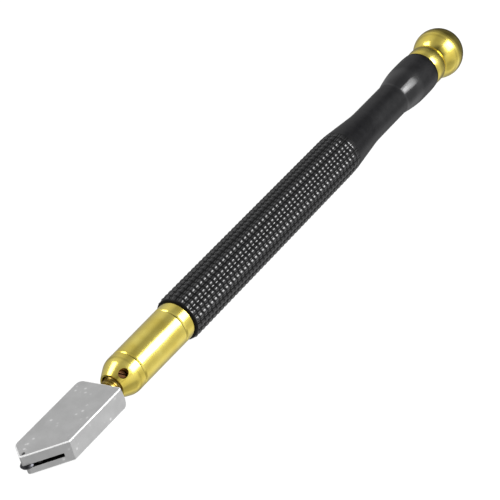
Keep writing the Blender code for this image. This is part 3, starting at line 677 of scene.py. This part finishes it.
def make_stem():
    """The grooved brass stem between the plate and the nose."""
    low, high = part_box("head_stem")
    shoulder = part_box("head_plate")[1].x + STEM_SEAM
    outer = [(low.x, STEM_END_R), (low.x, STEM_TENON_R)]
    outer += [(shoulder, STEM_TENON_R), (shoulder, STEM_NECK_R)]
    for start in NECK_GROOVES:
        outer.append((station(start), STEM_NECK_R))
        outer.append((station(start + 0.12), NECK_GROOVE_R))
        outer.append((station(start + 0.30), NECK_GROOVE_R))
        outer.append((station(start + 0.42), STEM_NECK_R))
    outer += [(station(NECK_END), STEM_NECK_R), (station(NECK_RISE), STEM_R)]
    for first, last, floor_radius in (SCREW_GROOVE, RING_GROOVE):
        outer += [(station(first), STEM_R), (station(first), floor_radius)]
        outer += [(station(last), floor_radius), (station(last), STEM_R)]
    outer += [(high.x, STEM_R), (high.x, STEM_END_R)]
    inner = [(low.x, STEM_OIL_R), (high.x, STEM_OIL_R)]
    stem = turned("turned_stem", loop_of(outer, inner), even_angles(STEM_SEGMENTS))
    # its darker brass is painted shade
    finish_piece(stem, "head_stem", "head", STEM_BRASS_PAINTED_SHADE, 30.0)


RING_FACE_R = 4.2 * MM
RING_BORE_R = 3.08 * MM
RING_SEAT_R = 4.05 * MM
RING_SEAT_X = station(166.40)
# how far, in millimetres, the barrel falls away at its front and rear edges
BARREL_FRONT = 0.20
BARREL_REAR = 0.30
BARREL_STEPS = 8


def make_rear_collar():
    """A barrel-shaped brass ring between the bulb and the ball."""
    low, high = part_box("rear_collar")
    flare = (high.z - low.z) / 2
    outer = [(low.x, RING_FACE_R)]
    for k in range(2 * BARREL_STEPS + 1):
        part = k / BARREL_STEPS - 1
        x = low.x + (high.x - low.x) * (part + 1) / 2
        fall = BARREL_FRONT if part < 0 else BARREL_REAR
        outer.append((x, flare - fall * MM * part**2))
    outer.append((high.x, RING_FACE_R))
    inner = [
        (low.x, RING_BORE_R),
        (RING_SEAT_X, RING_BORE_R),
        (RING_SEAT_X, RING_SEAT_R),
        (high.x, RING_SEAT_R),
    ]
    collar = turned("turned_rear_collar", loop_of(outer, inner), even_angles(ROUND))
    finish_piece(collar, "rear_collar", "handle", BRASS, 30.0)


THREAD_PITCH = 0.75 * MM
THREAD_DEPTH = 0.30 * MM
THREAD_R = 2.90 * MM
THREAD_STEPS = 10
# from the tip of the neck: its face, its chamfer's length and radius, and where the thread starts
NECK_TIP_R = 2.2 * MM
NECK_CHAMFER = 0.4 * MM
NECK_CHAMFER_R = 2.60 * MM
THREAD_FROM = 0.5 * MM
THREAD_END_X = station(162.60)
RELIEF = 0.1 * MM
RELIEF_R = 2.45 * MM
RELIEF_END_X = station(163.60)
CAP_STUB_R = 2.97 * MM
CAP_FACE_X = station(167.65)
CAP_FACE_R = 4.40 * MM
CAP_FACE_STEP = 0.12 * MM
BALL_STEPS = 40
# within the thread's length, rings thinner than this are left uncut
THREADED_FROM_R = 2.85 * MM


def make_ball_cap():
    """The ball and the threaded neck that it is screwed in by, as one turned piece."""
    low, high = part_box("ball_cap")
    ball_x = high.x - BALL_R
    neck = [(low.x, 0.0), (low.x, NECK_TIP_R), (low.x + NECK_CHAMFER, NECK_CHAMFER_R)]
    thread_start = low.x + THREAD_FROM
    thread_end = THREAD_END_X
    count = int((thread_end - thread_start) / THREAD_PITCH * THREAD_STEPS)
    thread = []
    for k in range(count + 1):
        thread.append((thread_start + (thread_end - thread_start) * k / count, THREAD_R))
    rest = [
        (thread_end + RELIEF, RELIEF_R),
        (RELIEF_END_X, RELIEF_R),
        (RELIEF_END_X, CAP_STUB_R),
        (CAP_FACE_X, CAP_STUB_R),
        (CAP_FACE_X, CAP_FACE_R),
    ]
    start = math.acos((CAP_FACE_X + CAP_FACE_STEP - ball_x) / BALL_R)
    ball = []
    for k in range(BALL_STEPS + 1):
        angle = start * (1 - k / BALL_STEPS)
        ball.append((ball_x + BALL_R * math.cos(angle), BALL_R * math.sin(angle)))
    ball[-1] = (high.x, 0.0)

    def threaded(x, angle, radius):
        if not thread_start <= x <= thread_end or radius < THREADED_FROM_R:
            return radius
        share = ((x - thread_start) / THREAD_PITCH - angle / math.tau) % 1.0
        ends = min(1.0, (x - thread_start) / THREAD_PITCH, (thread_end - x) / THREAD_PITCH)
        ridge = 1 - abs(2 * share - 1)
        return radius - THREAD_DEPTH * (1 - ridge * ends)

    loop = neck + thread + rest + ball
    cap = turned("turned_ball_cap", loop, even_angles(ROUND), threaded)
    finish_piece(cap, "ball_cap", "cap", BRASS, 40.0)


SPRING_WIRE_R = 0.20 * MM
SPRING_TURNS = 6
SPRING_STEPS = 28
WIRE_SIDES = 12


def make_spring():
    """The valve spring, one fixed coil; in use it shortens towards its rear seat as the head is pressed."""
    low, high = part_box("valve_spring")
    mean = (high.z - low.z) / 2 - SPRING_WIRE_R
    start = low.x + SPRING_WIRE_R
    span = high.x - low.x - 2 * SPRING_WIRE_R
    count = SPRING_TURNS * SPRING_STEPS
    lead = span / (math.tau * SPRING_TURNS * mean)
    bm = bmesh.new()
    rings = []
    for k in range(count + 1):
        turn = math.tau * SPRING_TURNS * k / count
        radial = Vector((0.0, math.sin(turn), math.cos(turn)))
        tangent = Vector((lead, math.cos(turn), -math.sin(turn))).normalized()
        side = tangent.cross(radial)
        centre = Vector((start + span * k / count, 0.0, AXIS_Z)) + radial * mean
        ring = []
        for j in range(WIRE_SIDES):
            angle = math.tau * j / WIRE_SIDES
            offset = radial * math.cos(angle) + side * math.sin(angle)
            ring.append(bm.verts.new(centre + offset * SPRING_WIRE_R))
        rings.append(ring)
    for a, b in zip(rings, rings[1:]):
        for j in range(WIRE_SIDES):
            n = (j + 1) % WIRE_SIDES
            bm.faces.new((a[j], a[n], b[n], b[j]))
    bm.faces.new(rings[0])
    bm.faces.new(rings[-1])
    bmesh.ops.recalc_face_normals(bm, faces=bm.faces)
    spring = object_from("coiled_spring", bm)
    finish_piece(spring, "valve_spring", "handle", SPRING_STEEL)
    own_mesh(spring)


# ---------------------------------------------------------------- the steel head

MOUNTS = {m["name"]: m for m in frame["record"]["mounts"]}
JOINTS = {j["name"]: j for j in frame["joints"]}
FACE = Vector(MOUNTS["guide_face_front"]["axis"]).normalized()
FACE_SPAN = Vector(MOUNTS["guide_face_front"]["pos_m"]) - Vector(MOUNTS["guide_face_back"]["pos_m"])
PLATE_THICK = FACE_SPAN.dot(FACE)
PLATE_FRONT = (Vector(MOUNTS["guide_face_front"]["pos_m"]) - Vector((0.0, 0.0, AXIS_Z))).dot(FACE)
ALONG = Vector((1.0, 0.0, 0.0))
ACROSS = ALONG.cross(FACE)
WHEEL_SPOT = Vector(JOINTS["wheel_spin"]["pos_m"])
HEAD_TURN = Matrix((FACE, ACROSS, ALONG)).transposed().to_4x4()
HEAD = Matrix.Translation((FRONT_X, 0.0, AXIS_Z)) @ HEAD_TURN

PLATE_TOP = 26.36 * MM
APEX = (-1.92 * MM, 0.88 * MM)
LOW_CORNER = (-5.80 * MM, 4.08 * MM)
HIGH_CORNER = (5.50 * MM, 8.24 * MM)
SLOT_WIDTH = 0.86 * MM
SLOT_DEPTH = 3.00 * MM
SLOT_SHORT = 1.80 * MM
CHEEK_SETBACK = 0.55 * MM
CUT_OVER = 4.0 * MM
# corner radii of the plate's outline, in the order of plate_outline
REAR_LOW_ROUND = 1.50 * MM
SHORT_SLANT_ROUND = 1.80 * MM
APEX_ROUND = 0.45 * MM
APEX_ROUND_BACK = 0.80 * MM
LONG_SLANT_ROUND = 0.30 * MM
REAR_HIGH_ROUND = 0.70 * MM
CORNER_STEPS = 8
# the back cheek ends in a small step at the slot's wall
CHEEK_STEP = 0.03 * MM
CHEEK_MARGIN = 0.01 * MM
RIM_BEVEL = 0.24 * MM
AXLE_HOLE_R = 0.41 * MM
STEM_HOLE_R = 1.50 * MM
STEM_HOLE_FROM = 18.6 * MM
OIL_HOLE_R = 0.50 * MM
OIL_HOLE_FROM = 3.88 * MM
OIL_HOLE_SEGMENTS = 24
# the plate's material slots after the satin one: a painted highlight on the bevels, and painted shade on the
# slot's walls
EDGE_HIGHLIGHT_SLOT, SLOT_WALL_SHADE_SLOT = 1, 2
# the rear end bulges a little and is rounded off towards the back: (depth, how much longer)
REAR_END = (
    (0.0, -1.0), (0.30, -0.16), (0.60, 0.08), (1.0, 0.20), (1.62, 0.28), (2.4, 0.28), (3.4, 0.2),
    (4.3, 0.07), (4.8, 0.0),
)


def rounded_outline(corners):
    """A closed outline whose corners, given as (v, station, radius), are rounded."""
    points = []
    count = len(corners)
    for i, (v, along, radius) in enumerate(corners):
        here = Vector((v, along))
        before = (Vector(corners[i - 1][:2]) - here).normalized()
        after = (Vector(corners[(i + 1) % count][:2]) - here).normalized()
        half = math.acos(before.dot(after)) / 2
        centre = here + (before + after).normalized() * radius / math.sin(half)
        start = here + before * radius / math.tan(half) - centre
        end = here + after * radius / math.tan(half) - centre
        sweep = math.atan2(start.x * end.y - start.y * end.x, start.dot(end))
        for k in range(CORNER_STEPS + 1):
            points.append(centre + Matrix.Rotation(sweep * k / CORNER_STEPS, 2) @ start)
    return points


def rotated_box(name, size, centre, direction):
    """A box in the head's frame: thickness along x, its length along a (v, station) direction."""
    place = Matrix.Translation((centre[0], centre[1], centre[2]))
    place = place @ Matrix.Rotation(math.atan2(direction.y, direction.x), 4, "X")
    return box(name, size, HEAD @ place)


def plate_outline(top, setback, apex_radius):
    """The plate's outline with its rear end at top and its short slant set back."""
    low = Vector(LOW_CORNER)
    apex = Vector(APEX)
    short = (low - apex) / (low.x - apex.x)
    slant = (Vector(HIGH_CORNER) - apex) / (HIGH_CORNER[0] - apex.x)
    rise = setback * short.length
    apex += slant * rise / (slant.y - short.y)
    low.y += rise
    corners = [
        (low.x, top, REAR_LOW_ROUND),
        (low.x, low.y, SHORT_SLANT_ROUND),
        (apex.x, apex.y, apex_radius),
        (*HIGH_CORNER, LONG_SLANT_ROUND),
        (HIGH_CORNER[0], top, REAR_HIGH_ROUND),
    ]
    return rounded_outline(corners)


def make_plate():
    """The steel plate: lofted through its depth, bevelled, then slotted and drilled."""
    back_x = PLATE_FRONT - PLATE_THICK
    cheek_x = -SLOT_WIDTH / 2
    layers = []
    for depth, longer in REAR_END:
        x = back_x + PLATE_THICK * depth / REAR_END[-1][0]
        top = PLATE_TOP + longer * MM
        if x < cheek_x + CHEEK_MARGIN:
            layers.append((x, plate_outline(top, CHEEK_SETBACK, APEX_ROUND_BACK)))
            continue
        if layers[-1][0] < cheek_x + CHEEK_MARGIN:
            layers.append((cheek_x + CHEEK_STEP, plate_outline(top, 0.0, APEX_ROUND)))
        layers.append((x, plate_outline(top, 0.0, APEX_ROUND)))
    bm = bmesh.new()
    rings = [[bm.verts.new((x, p.x, p.y)) for p in outline] for x, outline in layers]
    for a, b in zip(rings, rings[1:]):
        for i in range(len(a)):
            n = (i + 1) % len(a)
            bm.faces.new((a[i], a[n], b[n], b[i]))
    caps = [bm.faces.new(rings[0]), bm.faces.new(rings[-1])]
    bmesh.ops.recalc_face_normals(bm, faces=bm.faces)
    rims = [edge for cap in caps for edge in cap.edges]
    bevelled = bmesh.ops.bevel(
        bm, geom=rims, offset=RIM_BEVEL, segments=3, profile=0.5, affect="EDGES", clamp_overlap=True
    )
    # the bevels get the painted highlight
    for face in bevelled["faces"]:
        face.material_index = EDGE_HIGHLIGHT_SLOT
    bm.transform(HEAD)
    plate = object_from("ground_plate", bm)
    slant = Vector(HIGH_CORNER) - Vector(APEX)
    length = slant.length - SLOT_SHORT + CUT_OVER
    slant.normalize()
    inward = Vector((-slant.y, slant.x))
    centre = Vector(APEX) + slant * (length / 2 - CUT_OVER) + inward * (SLOT_DEPTH - CUT_OVER) / 2
    size = (SLOT_WIDTH, length, SLOT_DEPTH + CUT_OVER)
    slot = rotated_box("slot", size, (0.0, *centre), slant)
    # the slot's walls get dark steel: painted shade inside the slot
    for polygon in slot.data.polygons:
        polygon.material_index = SLOT_WALL_SHADE_SLOT
    for material in (PLATE_STEEL, EDGE_STEEL_PAINTED_HIGHLIGHT, DARK_STEEL):
        plate.data.materials.append(material)
        slot.data.materials.append(material)
    bool_cut(plate, slot)
    spin = Matrix.Translation(WHEEL_SPOT) @ FACE.to_track_quat("Z", "Y").to_matrix().to_4x4()
    bool_cut(plate, cylinder("axle_hole", AXLE_HOLE_R, -PLATE_THICK, PLATE_THICK, spin))
    stem_end = PLATE_TOP + CUT_OVER
    bool_cut(plate, cylinder("stem_hole", STEM_HOLE_R, STEM_HOLE_FROM, stem_end, HEAD))
    oil_hole = cylinder("oil_hole", OIL_HOLE_R, OIL_HOLE_FROM, PLATE_TOP, HEAD, OIL_HOLE_SEGMENTS)
    bool_cut(plate, oil_hole)
    weight = plate.modifiers.new("weighted", "WEIGHTED_NORMAL")
    weight.keep_sharp = True
    weight.weight = 100
    finish_piece(plate, "head_plate", "head", None, 50.0)


WHEEL_HALF = 0.37 * MM
WHEEL_BORE_R = 0.42 * MM
WHEEL_BEVEL = 0.22 * MM
WHEEL_FLAT = 0.02 * MM


def make_wheel():
    """The cutting wheel, bevelled from both sides to a narrow edge."""
    radius = WHEEL_SPOT.x - cad_low.x
    loop = [
        (-WHEEL_HALF, WHEEL_BORE_R),
        (-WHEEL_HALF, radius - WHEEL_BEVEL),
        (-WHEEL_FLAT, radius),
        (WHEEL_FLAT, radius),
        (WHEEL_HALF, radius - WHEEL_BEVEL),
        (WHEEL_HALF, WHEEL_BORE_R),
    ]
    place = Matrix.Translation(WHEEL_SPOT) @ FACE.to_track_quat("X", "Z").to_matrix().to_4x4()
    wheel = turned("ground_wheel", loop, even_angles(ROUND), matrix=place)
    finish_piece(wheel, "cutting_wheel", "wheel", CARBIDE, 20.0)


CARRIED_OVER = {
    "wheel_axle": DARK_STEEL,
    "stem_o_ring": RUBBER,
    # the set screw's near-black brass is painted shade
    "set_screw": SCREW_BRASS_PAINTED_SHADE,
    "valve_seat": SEAT,
    "push_rod": DARK_STEEL,
    "spring_washer": BRASS,
    "front_insert": BRASS,
    "oil_wick": FELT,
    "filler_bush": BRASS,
    "cap_o_ring": RUBBER,
}


def dress_cad_nodes():
    """The pieces whose CAD shape stays get their materials."""
    for name, material in CARRIED_OVER.items():
        for slot in NODES[name].material_slots:
            slot.material = material


make_handle()
make_nose()
make_valve_body()
make_front_collar()
make_stem()
make_rear_collar()
make_ball_cap()
make_spring()
make_plate()
make_wheel()
dress_cad_nodes()

# ---------------------------------------------------------------- floor, light and camera

FLOOR_DEPTH = 0.2 * MM
FLOOR_HALF = 3.0
FLOOR_GLOW = 0.96
# the direction that the camera looks in
VIEW_DIRECTION = Vector((0.649, 0.407, -0.643))
CAMERA_LENS = 148.6
# in millimetres: the camera's distance, where along the tool it looks, and the offset of that
# point to the right and down in the picture
CAMERA_DISTANCE = 461.9
AIM_X = -7.63
AIM_RIGHT = 0.51
AIM_DOWN = 0.50


def make_floor():
    """A pale floor that glows evenly, so that it shows next to no shadow."""
    bm = bmesh.new()
    bmesh.ops.create_grid(bm, x_segments=2, y_segments=2, size=FLOOR_HALF)
    floor = object_from("studio_floor", bm)
    floor.location = (0.0, 0.0, cad_low.z - FLOOR_DEPTH)
    floor.visible_glossy = False
    shade = Shade("studio_floor")
    shade.set(Roughness=1.0, Specular_IOR_Level=0.0)
    shade.set(Base_Color=(0.10, 0.10, 0.10, 1.0), Emission_Color=(1, 1, 1, 1))
    shade.set(Emission_Strength=FLOOR_GLOW)
    floor.data.materials.append(shade.material)


def area_light(name, direction, distance, width, height, radiance):
    """A soft box of the given radiance, facing the middle of the tool."""
    data = bpy.data.lights.new(name, "AREA")
    data.shape = "RECTANGLE"
    data.size = width
    data.size_y = height
    data.energy = radiance * math.pi * width * height
    light = bpy.data.objects.new(name, data)
    aim = Vector(direction).normalized()
    light.location = Vector((0.0, 0.0, AXIS_Z)) + aim * distance
    light.rotation_mode = "QUATERNION"
    tangent = (ALONG - aim * ALONG.dot(aim)).normalized()
    axes = Matrix((tangent, aim.cross(tangent), aim)).transposed()
    light.rotation_quaternion = axes.to_quaternion()
    bpy.context.scene.collection.objects.link(light)


# grey level of the tent round the tool, by the angle from straight up towards -Y in degrees
TENT_ROUND = (
    (-180, 0.50), (-147, 0.42), (-113, 0.45), (-88, 0.58), (-69, 0.72), (-54, 0.81), (-41, 0.76),
    (-28, 0.64), (-17, 0.45), (5, 0.47), (15, 0.62), (68, 1.10), (79, 0.93), (90, 0.80),
    (102, 0.79), (115, 0.89), (130, 1.09), (147, 0.93), (170, 0.50), (180, 0.50),
)
# its share of that by the direction's x
TENT_ALONG = (
    (-1.0, 0.65), (-0.63, 0.73), (-0.2, 1.0), (0.36, 1.0), (0.43, 0.70), (0.53, 0.70),
    (0.57, 1.0), (0.60, 1.0), (0.66, 0.80), (0.70, 0.44), (0.78, 0.42), (0.86, 0.15), (1.0, 0.15),
)
# patches of the tent: direction, then (cosine of the angle from it, share of the level there)
TENT_PATCHES = (
    # dark towards the camera, so that the faces turned to it mirror something dark
    (tuple(-VIEW_DIRECTION), ((0.80, 1.0), (0.93, 0.24), (1.0, 0.20))),
    # what the nose's dome mirrors above and below its screw hole
    ((-0.340, -0.580, 0.740), ((0.950, 1.0), (0.985, 2.8), (1.0, 2.8))),
    ((-0.060, -0.840, -0.540), ((0.875, 1.0), (0.955, 0.56), (1.0, 0.52))),
)


def make_world():
    """A pale tent with soft seams and panels along the tool."""
    world = bpy.data.worlds.new("studio")
    world.use_nodes = True
    tree = world.node_tree
    coords = tree.nodes.new("ShaderNodeTexCoord").outputs["Generated"]
    split = tree.nodes.new("ShaderNodeSeparateXYZ")
    tree.links.new(coords, split.inputs["Vector"])
    turn = tree.nodes.new("ShaderNodeMath")
    turn.operation = "ARCTAN2"
    tree.links.new(split.outputs["Y"], turn.inputs[0])
    tree.links.new(split.outputs["Z"], turn.inputs[1])
    share = tree.nodes.new("ShaderNodeMapRange")
    share.inputs["From Min"].default_value = math.pi
    share.inputs["From Max"].default_value = -math.pi
    tree.links.new(turn.outputs["Value"], share.inputs["Value"])
    stops = [((angle + 180) / 360, level) for angle, level in TENT_ROUND]
    around = grey_ramp(tree, share.outputs["Result"], stops)
    along = tree.nodes.new("ShaderNodeMapRange")
    along.inputs["From Min"].default_value = -1.0
    tree.links.new(split.outputs["X"], along.inputs["Value"])
    stops = [((x + 1) / 2, level) for x, level in TENT_ALONG]
    along = grey_ramp(tree, along.outputs["Result"], stops)
    level = multiplied(tree, along, around)
    for direction, stops in TENT_PATCHES:
        facing = tree.nodes.new("ShaderNodeVectorMath")
        facing.operation = "DOT_PRODUCT"
        facing.inputs[1].default_value = direction
        tree.links.new(coords, facing.inputs[0])
        patch = grey_ramp(tree, facing.outputs["Value"], stops)
        level = multiplied(tree, level, patch)
    tree.links.new(level, tree.nodes["Background"].inputs["Color"])
    bpy.context.scene.world = world


def make_light():
    area_light("key", (0.338, -0.630, 0.700), 0.80, 0.56, 0.48, 6.5)
    area_light("key_core", (0.46, -0.594, 0.66), 0.78, 0.13, 0.22, 9.0)
    area_light("fill", (-0.28, 0.72, 0.62), 0.80, 0.36, 0.36, 4.5)


def make_camera():
    data = bpy.data.cameras.new("camera")
    data.sensor_width = 36.0
    data.lens = CAMERA_LENS
    data.clip_start = 0.01
    camera = bpy.data.objects.new("camera", data)
    forward = VIEW_DIRECTION.normalized()
    right = forward.cross(Vector((0.0, 0.0, 1.0))).normalized()
    up = right.cross(forward)
    aim_at = Vector((AIM_X * MM, 0.0, AXIS_Z)) + right * AIM_RIGHT * MM - up * AIM_DOWN * MM
    camera.location = aim_at - forward * CAMERA_DISTANCE * MM
    camera.rotation_mode = "QUATERNION"
    camera.rotation_quaternion = (-forward).to_track_quat("Z", "Y")
    bpy.context.scene.collection.objects.link(camera)
    bpy.context.scene.camera = camera


make_floor()
make_world()
make_light()
make_camera()
bpy.context.scene.view_settings.view_transform = "Standard"
